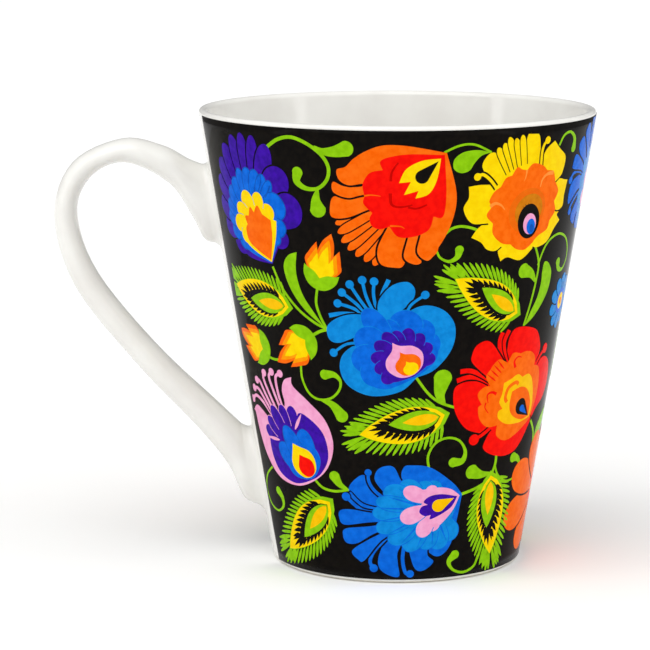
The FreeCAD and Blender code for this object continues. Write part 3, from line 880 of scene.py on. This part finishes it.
def blue_fan():
    """Blue fan with knobbed strokes between its petals and a pink and violet heart."""
    art = []
    for points in ([(0, 0), (-5.6, 2.0), (-11.0, 4.2), (-13.2, 7.0), (-11.8, 9.4), (-6, 12), (0, 10)],
                   [(0, 0), (3.4, 1.8), (8.2, 6.2), (9.7, 10.4), (9.4, 12.3), (6.4, 12.9), (0, 10)]):
        art.append(patch("royal", points, (0,)))
    for points in ([(-8, 9.4), (-12.2, 9.9), (-14.2, 8.8), (-15.7, 11.0), (-15.4, 12.8), (-13.0, 13.6),
                    (-9, 13.4)],
                   [(4, 12.6), (7.0, 13.4), (9.9, 14.4), (10.3, 16.6), (9.2, 18.4), (6.8, 18.8), (3, 16)],
                   [(-6, 13), (-10.0, 16.2), (-13.0, 16.7), (-16.2, 16.9), (-15.4, 19.4), (-13.4, 21.0),
                    (-10.2, 20.4), (-5, 17)],
                   [(1.6, 17.0), (5.0, 19.6), (8.6, 21.1), (7.6, 23.6), (5.4, 25.2), (3.0, 23.8),
                    (0.4, 18)]):
        art += outlined("royal", curve(points), 0.4)
    art += stamen("royal", [(-8.0, 14.4), (-12.0, 15.5), (-15.4, 15.4), (-16.0, 14.4)], 0.8, 1.8)
    art += stamen("royal", [(-5.6, 17.2), (-9.4, 21.4), (-12.0, 22.8), (-13.6, 22.2)], 0.8, 1.9)
    art += stamen("royal", [(2.0, 16.6), (4.6, 19.2), (7.0, 20.3), (9.2, 20.2)], 0.7, 1.6)
    art += outlined("royal", stroke([(0.0, 18.0), (1.6, 22.6), (4.6, 25.2)], 0.7, 0.9), 0.35)
    art += stamen("royal", [(-0.6, 18.0), (0.4, 22.8), (3.7, 26.1)], 0.8, 2.0)
    for points in ([(-4.6, 14), (-7.0, 19.4), (-11.6, 24.0), (-11.4, 25.4), (-9.3, 26.6), (-7.0, 23.0),
                    (-5.0, 18)],
                   [(-3.8, 14), (-5.2, 20.5), (-7.4, 25.0), (-7.3, 27.6), (-5.5, 28.2), (-3.9, 27.2),
                    (-3.5, 21.0), (-3, 14)],
                   [(-2.6, 14), (-2.6, 22.0), (-3.0, 27.4), (-1.4, 28.5), (0.4, 28.0), (0.6, 25.0),
                    (-0.5, 20.0), (-1, 14)]):
        art += outlined("royal", curve(points), 0.4)
    art.append(("royal", oval(15, 14, (-2.0, 12.0), 30)))
    art += fan("sky", (-1.4, 7.0), ((-112, 9.4, 5.0), (-90, 10.2, 5.0), (-70, 10.0, 4.8), (-50, 11.6, 4.8),
                                    (-31, 12.6, 4.6), (96, 6.6, 4.2), (72, 7.2, 4.6), (50, 9.8, 4.8),
                                    (32, 12.0, 5.0), (-13, 13.6, 4.2), (4, 13.6, 4.0), (17, 13.0, 3.6)),
               0.72, 0.16, "royal")
    art.append(patch("sky", [(-0.2, 0.8), (-6, 4), (-7, 8), (-5, 13), (0, 14), (4, 10), (3.6, 5)], (0,)))
    art += [("royal", turned(lens(reach, 0.45), -way, (-1.4, 7.0)))
            for way, reach in ((-102, 9), (-80, 9.4), (-60, 10), (-40, 11), (-22, 11.8), (-5, 12.4),
                               (10, 12.6), (25, 11), (41, 9.6), (61, 7.6), (84, 6))]
    art += fan("pink", (-0.6, 6.0), ((-70, 6.6, 3.2), (76, 4.8, 2.8), (-54, 8.6, 3.6), (36, 8.5, 3.6),
                                     (-14, 8.9, 4.0)),
               0.72, 0.2, "sky")
    art.append(patch("pink", [(-0.1, 0.6), (-3.4, 3.0), (-6.2, 7.2), (-3.4, 8.4), (-1, 10), (1.6, 8.6),
                              (3.5, 9.4), (3.2, 5.2), (2.0, 2.4)], (0, 6)))
    violet_heart = [(-0.1, 1.2), (-2.4, 3.2), (-3.9, 7.9), (-2.9, 7.9), (-2.8, 9.3), (-1.7, 10.3),
                    (-0.5, 9.6), (-0.3, 8.2), (0.6, 9.0), (1.6, 7.4), (1.4, 4.6)]
    art.append(patch("violet", violet_heart, (0, 3, 7)))
    art.append(("yellow_deep", turned(drop(5.4, 3.0), 12, (-0.3, 2.0))))
    return art


def orange_rosette():
    """Round orange bloom with long petals and a small red heart."""
    art = fan("orange", (0, 0), tuple((way, 13.5 + 4.5 * abs(math.sin(math.radians(way))), 8.2)
                                      for way in range(10, 370, 40)), 0.72, 0.5)
    art += fan("red", (0, 0), tuple((way, 4.6, 3.2) for way in range(0, 360, 60)), 0.7, 0.15, "orange")
    return art + [("yellow", oval(4.0, 4.0)), ("ground", oval(1.6, 2.2, steps=14))]


def daisy():
    """Small filler flower."""
    art = fan("sky", (0, 0), tuple((way, 5.4, 2.6) for way in range(0, 360, 36)), 0.7, 0.25)
    return art + [("royal", oval(5.0, 5.0)), ("yellow", oval(3.2, 3.2)), ("orange",
                                                                          oval(1.4, 1.4, steps=14))]


# ---------------------------------------------------------------- stems, tendrils and where everything lies

def tendril(points, head, line, late):
    """Curling line that swells, late in its course, into a round head."""
    return [("lime", stroke(points, line, head, late=late, round_end=True))]


def leaf_drop(points, head):
    """Small leaf that swells from its foot to a round head."""
    return tendril(points, head, 0.4, 0.0)


def stem(points, width=0.6):
    return [("lime", stroke(points, width, width))]


def upper_left_greenery():
    art = tendril([(-31.6, 45.2), (-28.4, 47.6), (-24.8, 48.6), (-20.9, 47.6), (-17.6, 45.5), (-16.0, 42.9),
                   (-16.4, 40.1), (-18.5, 38.0), (-21.4, 37.7), (-23.5, 38.9), (-23.4, 40.9)], 2.6, 0.8,
                  0.72)
    art += leaf_drop([(-19.4, 47.3), (-17.4, 46.4), (-14.6, 46.6), (-12.2, 47.4)], 3.5)
    art += leaf_drop([(-18.5, 37.8), (-18.9, 35.4), (-18.5, 33.4)], 3.8)
    crescent = [(-23.8, 22.8), (-25.8, 21.9), (-27.1, 20.2), (-27.3, 18.2), (-26.3, 15.4), (-24.5, 12.6),
                (-21.6, 9.7), (-16.9, 6.5), (-19.7, 9.8), (-22.2, 13.0), (-23.6, 16.2), (-24.1, 19.2)]
    art.append(patch("lime", crescent, (0, 7)))
    art += stem([(-30.6, 18.1), (-27.9, 13.7), (-23.9, 9.9), (-19.4, 7.3), (-16.3, 6.3)])
    art += stem([(-18.7, 15.3), (-19.0, 12.0), (-18.1, 9.2), (-16.6, 6.5)])
    art += stem([(-16.3, 6.2), (-18.1, 5.5), (-19.9, 4.3)], 0.7)
    return art


def upper_right_greenery():
    leaf = [(19.6, 45.9), (17.4, 46.6), (15.2, 46.8), (12.9, 46.4), (11.2, 45.0), (11.2, 43.0), (12.8, 42.0),
            (14.7, 42.4), (15.8, 43.9), (17.4, 45.4)]
    art = [patch("lime", leaf, (0,))] + stem([(9.0, 46.8), (12.5, 48.1), (15.9, 48.0), (19.8, 45.9)], 0.5)
    art += stem([(9.4, 28.6), (10.8, 29.7), (12.8, 30.1), (15.1, 29.6), (17.2, 28.7)])
    art += tendril([(7.6, 25.0), (8.4, 23.4), (10.4, 22.4), (12.2, 23.2), (12.7, 24.8)], 2.0, 0.5, 0.3)
    art += tendril([(39.6, 44.0), (41.3, 45.9), (43.9, 46.1), (46.0, 44.2), (45.9, 41.9)], 2.0, 0.6, 0.5)
    art += stem([(32.9, 22.6), (34.6, 18.0), (33.9, 13.5), (32.5, 9.1), (30.5, 4.2)])
    art += leaf_drop([(33.8, 13.7), (32.2, 16.0), (29.8, 17.3)], 3.4)
    blade = [(36.9, 17.6), (38.6, 16.9), (40.1, 14.2), (39.3, 10.7), (37.0, 7.9), (33.8, 5.5), (30.7, 4.1),
             (32.7, 7.0), (34.8, 9.7), (36.0, 12.9), (36.2, 15.6)]
    art.append(patch("lime", blade, (6,)))
    art += tendril([(34.3, 17.5), (36.4, 21.0), (38.9, 22.6), (42.6, 22.7), (46.3, 20.7), (48.4, 17.6),
                    (48.4, 14.8), (46.2, 13.2), (43.8, 14.0), (43.2, 15.8)], 2.0, 0.55, 0.7)
    return art


def lower_left_greenery():
    art = stem([(-32.8, -3.9), (-31.0, -3.9), (-29.0, -3.5)])
    art += tendril([(-23.1, -3.4), (-22.8, -6.4), (-21.1, -9.4), (-18.5, -10.5), (-15.5, -9.7),
                    (-13.6, -7.6), (-13.3, -5.4), (-14.8, -4.1), (-17.0, -4.4)], 2.3, 0.55, 0.68)
    art += leaf_drop([(-18.2, -10.4), (-15.2, -11.2), (-13.0, -13.5)], 3.0)
    art += stem([(-19.7, -30.0), (-17.7, -31.4), (-14.7, -31.7), (-11.3, -30.8)])
    art += leaf_drop([(-11.5, -30.8), (-13.4, -29.9), (-14.7, -28.2)], 2.6)
    art += tendril([(-34.0, -31.2), (-37.0, -34.3), (-38.0, -37.9), (-36.1, -41.0), (-32.6, -41.6),
                    (-30.2, -39.7), (-30.4, -37.6), (-31.9, -36.4)], 2.0, 0.5, 0.6)
    return art


def lower_middle_greenery():
    art = stem([(3.3, -3.5), (6.1, -7.5), (8.7, -9.8), (12.2, -11.4)])
    art += leaf_drop([(10.0, -10.6), (8.8, -8.0), (9.4, -4.4)], 4.2)
    art += tendril([(6.6, -25.6), (6.3, -22.3), (7.9, -19.4), (10.7, -18.4), (13.5, -19.4), (15.0, -22.0),
                    (14.4, -24.3), (12.2, -24.4)], 2.3, 0.55, 0.6)
    art += stem([(23.7, -24.4), (23.2, -27.6), (21.3, -30.3), (18.2, -31.6), (14.4, -32.3)], 0.7)
    art += leaf_drop([(22.0, -28.9), (19.2, -28.6), (17.0, -27.5)], 3.4)
    art += tendril([(23.3, -27.4), (24.4, -30.1), (27.2, -32.3), (30.6, -32.3), (32.3, -30.3), (31.4, -28.2),
                    (29.6, -27.3)], 2.4, 0.5, 0.6)
    art += tendril([(19.2, -48.2), (18.1, -50.6), (15.3, -51.5), (12.6, -50.4), (11.5, -48.3),
                    (12.9, -46.8)], 2.2, 0.6, 0.6)
    return art


def lower_right_greenery():
    art = stem([(36.2, -20.4), (38.4, -24.1), (38.8, -27.8)], 0.7)
    blade = [(39.0, -26.6), (40.2, -23.6), (43.4, -21.6), (46.8, -20.8), (46.4, -24.2), (42.8, -26.2)]
    art.append(patch("lime", blade, (0, 3)))
    return art


# Each motif's drawing, the turn and height of its foot, its lean counterclockwise and its size, which is
# negative where it is mirrored; turns and leans in degrees, heights in mm.
LAYOUT = {
    "violet_fan": (violet_fan, -43.9, 72.3, 4.8, 1.0),
    "orange_fan": (orange_fan, 10.7, 97.9, 131.3, 1.0),
    "yellow_rose": (yellow_rose, 39.5, 87.7, 12.1, 1.0),
    "blue_rose": (blue_rose, 4.5, 48.4, 29.7, 1.0),
    "tulip": (tulip, -35.3, 23.0, 30.5, 1.0),
    "red_rose": (red_rose, 59.3, 36.2, 54.4, 1.0),
    "blue_fan": (blue_fan, 26.0, 20.6, 102.6, 1.0),
    "side_daisy": (daisy, 71.5, 61.6, 0.0, 1.2),
    "upper_bud": (bud, -27.3, 67.4, -17.7, 1.0),
    "middle_bud": (bud, -30.1, 57.7, 128.2, 1.0),
    "lower_bud": (bud, -50.3, 51.4, 75.9, 1.0),
    "left_leaf": (feather_leaf, -37.2, 62.7, 77.6, -1.0),
    "right_leaf": (feather_leaf, 43.9, 60.8, 70.2, 1.0),
    "middle_leaf": (feather_leaf, 18.3, 39.9, 112.7, 1.0),
    "low_left_leaf": (feather_leaf, -27.5, 19.4, 130.1, -1.0),
    "low_right_leaf": (feather_leaf, 39.0, 25.2, -165.8, 1.0),
}
FILLERS = {  # printed once, between the two pictures
    "side_blue_fan": (blue_fan, 93.0, 81.0, 40.0, 0.95),
    "side_rosette": (orange_rosette, 83.0, 17.2, 0.0, 1.0),
    "side_leaf": (feather_leaf, 91.0, 39.5, -4.0, 0.92),
    "side_bud": (bud, 94.0, 62.5, 6.0, 0.95),
}
GREENERY = {
    "upper_left_tendrils": upper_left_greenery,
    "upper_right_tendrils": upper_right_greenery,
    "lower_left_tendrils": lower_left_greenery,
    "lower_middle_tendrils": lower_middle_greenery,
    "lower_right_tendrils": lower_right_greenery,
}
GREENERY_FOOT = (0.0, 52.0)  # turn and height of the point from which the stems are drawn
PANELS = {"front": 0.0, "back": 172.0}  # the printer's sheet holds the same picture twice


# ---------------------------------------------------------------- printing on the wall

# Height of the colours' faces above the bare wall, in the order they were laid; the ground's is below them.
STEM_LIFT, LEAF_LIFT, FLOWER_LIFT = 0.15 * MM, 0.17 * MM, 0.19 * MM
PRINT_THICKNESS = 0.08 * MM
SHEET_MARGIN = 0.2 * MM  # ground left beyond the colours at the sheet's edges
SHEET_VIEW = math.radians(100)  # how far round the wall from a motif's foot its sheet is unrolled
TRANSFER_MIDDLE = math.pi / 2  # the sheet's middle is opposite the handle
PRINT_STEP = 1.5  # mm between the extra points that let a flat shape follow the wall
CUT_TOLERANCE = 1e-4  # mm
SHEET_STEP = math.radians(2.5)


def winding(outline, places):
    """How many times an outline goes round each place."""
    start = numpy.array(outline)
    end = numpy.roll(start, -1, axis=0)
    x, y = places[:, 0:1], places[:, 1:2]
    side = (end[:, 0] - start[:, 0]) * (y - start[:, 1]) - (x - start[:, 0]) * (end[:, 1] - start[:, 1])
    up = (start[:, 1] <= y) & (end[:, 1] > y) & (side > 0)
    down = (start[:, 1] > y) & (end[:, 1] <= y) & (side < 0)
    return up.sum(axis=1) - down.sum(axis=1)


def flush_layer(art, sheet):
    """Cuts overlapping painted shapes into one flat layer, trimmed to the sheet; the last ink shows."""
    points, edges = [], []
    for outline in [outline for _, outline in art] + [sheet]:
        first, count = len(points), len(outline)
        points += outline
        edges += [(first + i, first + (i + 1) % count) for i in range(count)]
    low = [min(p[k] for _, outline in art for p in outline) for k in (0, 1)]
    high = [max(p[k] for _, outline in art for p in outline) for k in (0, 1)]
    columns, rows = (int((high[k] - low[k]) / PRINT_STEP) + 1 for k in (0, 1))
    points += [(low[0] + (i + 0.5) * PRINT_STEP, low[1] + (j + 0.5) * PRINT_STEP)
               for i in range(columns) for j in range(rows)]
    flat, _, faces, *_ = geometry.delaunay_2d_cdt([Vector(p) for p in points], edges, [], 0, CUT_TOLERANCE)
    places = numpy.array([[v.x, v.y] for v in flat])[numpy.array(faces)].mean(axis=1)
    on_top = numpy.full(len(faces), -1)
    for index, (ink, outline) in enumerate(art):
        on_top[winding(outline, places) != 0] = index
    on_top[winding(sheet, places) == 0] = -1
    kept = [(face, art[top][0]) for face, top in zip(faces, on_top) if top >= 0 and art[top][0] != "ground"]
    return flat, kept


def lay_on_wall(flat_point, turn, height, lean, scale):
    """Rolls a flat drawing's point round the wall's cone, without stretching it."""
    c, s = math.cos(lean), math.sin(lean)
    x, y = flat_point.x * scale * MM, flat_point.y * abs(scale) * MM
    across, along = x * c - y * s, x * s + y * c
    slant = (height + apex_depth) / math.cos(draft)
    distance = math.hypot(across, slant + along)
    swing = math.atan2(across, slant + along)
    return turn + swing / math.sin(draft), distance * math.cos(draft) - apex_depth


def flat_sheet(turn, height, lean, scale):
    """The sheet's outline, unrolled flat round a motif's foot and turned as the motif is."""
    slant = (height + apex_depth) / math.cos(draft)
    c, s = math.cos(lean), math.sin(lean)
    low, high = ground_low + SHEET_MARGIN, ground_high - SHEET_MARGIN
    left, right = (TRANSFER_MIDDLE + way * (math.pi - gap_turn(low)) for way in (-1, 1))
    middle = turn if left < turn < right else turn - 2 * math.pi
    left, right = max(left, middle - SHEET_VIEW), min(right, middle + SHEET_VIEW)
    steps = int((right - left) / SHEET_STEP)
    turns = [left + (right - left) * i / steps for i in range(steps + 1)]
    outline = []
    for edge, way in [(low, t) for t in turns] + [(high, t) for t in reversed(turns)]:
        swing, distance = (way - middle) * math.sin(draft), (edge + apex_depth) / math.cos(draft)
        across, along = distance * math.sin(swing), distance * math.cos(swing) - slant
        outline.append(((across * c + along * s) / scale / MM, (along * c - across * s) / abs(scale) / MM))
    return outline


def print_art(name, art, lift, turn, height, lean, scale):
    """One motif as a closed, hair-thin piece of enamel that follows the wall."""
    place = (math.radians(turn), height * MM, math.radians(lean), scale)
    flat, kept = flush_layer(art, flat_sheet(*place))
    used = sorted({corner for face, _ in kept for corner in face})
    number = {corner: i for i, corner in enumerate(used)}
    places = [lay_on_wall(flat[corner], *place) for corner in used]
    inks = list(dict.fromkeys(ink for _, ink in kept))
    order = (0, 2, 1) if scale < 0 else (0, 1, 2)
    faces = [tuple(number[face[k]] for k in order) for face, _ in kept]
    piece = skinned_piece(name, [on_wall(*place, lift) for place in places], faces)
    piece.data.polygons.foreach_set("material_index", [inks.index(ink) for _, ink in kept])
    solidify = piece.modifiers.new("thickness", "SOLIDIFY")
    solidify.thickness = PRINT_THICKNESS
    solidify.offset = -1.0
    bpy.ops.object.modifier_apply(modifier="thickness")
    smooth_like_wall(piece)
    finish_piece(piece, name, *(enamels[ink] for ink in inks))


def smooth_like_wall(piece):
    """Gives the two skins the wall's own smooth normals, so that reflections run on across the colours."""
    mesh = piece.data
    mesh.polygons.foreach_set("use_smooth", [True] * len(mesh.polygons))
    normals = [Vector((0, 0, 0))] * len(mesh.loops)
    for face in mesh.polygons:
        outward = wall_normal(math.atan2(face.center.x, -face.center.y))
        facing = face.normal.dot(outward)
        is_skin = abs(facing) > 0.5
        for loop in face.loop_indices:
            place = mesh.vertices[mesh.loops[loop].vertex_index].co
            along_wall = wall_normal(math.atan2(place.x, -place.y))
            normals[loop] = along_wall * math.copysign(1, facing) if is_skin else face.normal.copy()
    mesh.normals_split_custom_set(normals)


def print_transfer():
    for name, (draw, *place) in FILLERS.items():
        print_art(name, draw(), LEAF_LIFT, *place)
    for side, offset in PANELS.items():
        for name, (draw, turn, height, lean, scale) in LAYOUT.items():
            lift = LEAF_LIFT if draw is feather_leaf else FLOWER_LIFT
            print_art(f"{side}_{name}", draw(), lift, turn + offset, height, lean, scale)
        for name, draw in GREENERY.items():
            print_art(f"{side}_{name}", draw(), STEM_LIFT, GREENERY_FOOT[0] + offset, GREENERY_FOOT[1], 0.0,
                      1.0)


# ---------------------------------------------------------------- setting

ROOM_LIGHT = 0.86  # what the white room gives, as a share of what it looks like
DARK_SIDE = 0.3  # the same behind the mug, so that its sides and the handle show against the white


def aimed(lamp, place, aim):
    lamp.location = place
    lamp.rotation_euler = (Vector(aim) - Vector(place)).to_track_quat("-Z", "Y").to_euler()
    bpy.context.scene.collection.objects.link(lamp)


def soft_box(name, place, size, power):
    data = bpy.data.lights.new(name, "AREA")
    data.shape = "RECTANGLE"
    data.size, data.size_y = size
    data.energy = power
    aimed(bpy.data.objects.new(name, data), place, (0, 0, 0.05))


def far_window(name, place, strength, spread):
    """Even light from one side, as soft as a large diffuser far away."""
    data = bpy.data.lights.new(name, "SUN")
    data.energy = strength
    data.angle = math.radians(spread)
    aimed(bpy.data.objects.new(name, data), place, (0, 0, 0))


def make_studio():
    """White table in a white room, lit evenly, with soft boxes that only add sheen."""
    deselect_all()
    bpy.ops.mesh.primitive_plane_add(size=12.0, location=(0, 0, 0))
    table = bpy.context.object
    table.name = "table"
    material, tree, shader = new_material("pale_paper")
    tree.links.new(mottled(tree, "#FBFBFA", "#FDFDFC", 80.0), shader.inputs["Base Color"])
    shader.inputs["Roughness"].default_value = 0.9
    shader.inputs["Specular IOR Level"].default_value = 0.0
    table.data.materials.append(material)
    world = bpy.data.worlds.new("white_room")
    bpy.context.scene.world = world
    world.use_nodes = True
    tree = world.node_tree
    background = next(n for n in tree.nodes if n.type == "BACKGROUND")
    background.inputs["Color"].default_value = (1, 1, 1, 1)
    way = add_node(tree, "ShaderNodeTexCoord")
    parts = add_node(tree, "ShaderNodeSeparateXYZ", links={"Vector": way.outputs["Generated"]})
    room = add_node(tree, "ShaderNodeMapRange",
                    inputs={"From Min": 0.0, "From Max": 0.8, "To Min": ROOM_LIGHT, "To Max": DARK_SIDE},
                    links={"Value": parts.outputs["Y"]})
    ray = add_node(tree, "ShaderNodeLightPath")
    strength = add_node(tree, "ShaderNodeMapRange", inputs={"To Max": 1.0},
                        links={"Value": ray.outputs["Is Camera Ray"], "To Min": room.outputs["Result"]})
    tree.links.new(strength.outputs["Result"], background.inputs["Strength"])
    far_window("high_window", (-0.5, -0.6, 1.4), 0.95, 50)
    far_window("right_window", (0.9, -0.5, 0.9), 0.5, 60)
    soft_box("left_box", (-0.7, -0.25, 0.35), (0.12, 0.5), 0.5)
    soft_box("right_box", (0.75, -0.35, 0.35), (0.12, 0.5), 0.4)
    bpy.context.scene.view_settings.view_transform = "Standard"


SENSOR_WIDTH, LENS = 36.0, 157.6
CAMERA_PLACE = (-16.4 * MM, -645.8 * MM, 163.0 * MM)
CAMERA_DIP = 0.1675  # radians that it looks down


def make_camera():
    data = bpy.data.cameras.new("camera")
    data.sensor_width = SENSOR_WIDTH
    data.lens = LENS
    camera = bpy.data.objects.new("camera", data)
    camera.location = CAMERA_PLACE
    camera.rotation_euler = (math.pi / 2 - CAMERA_DIP, 0, 0)
    bpy.context.scene.collection.objects.link(camera)
    bpy.context.scene.camera = camera


make_camera()
make_studio()
enamels = {ink: fired_enamel(f"{ink}_enamel", deep, bright) for ink, (deep, bright) in INKS.items()}
porcelain = glazed_porcelain()
make_cup(porcelain, bare_biscuit())
make_handle(porcelain)
make_slip("upper_slip_fillet", "upper_slip_joint", smooth_ovals()[:SLIP_OVALS], porcelain)
make_slip("lower_slip_fillet", "lower_slip_joint", smooth_ovals()[-SLIP_OVALS:][::-1], porcelain)
make_ground(enamels["ground"])
print_transfer()
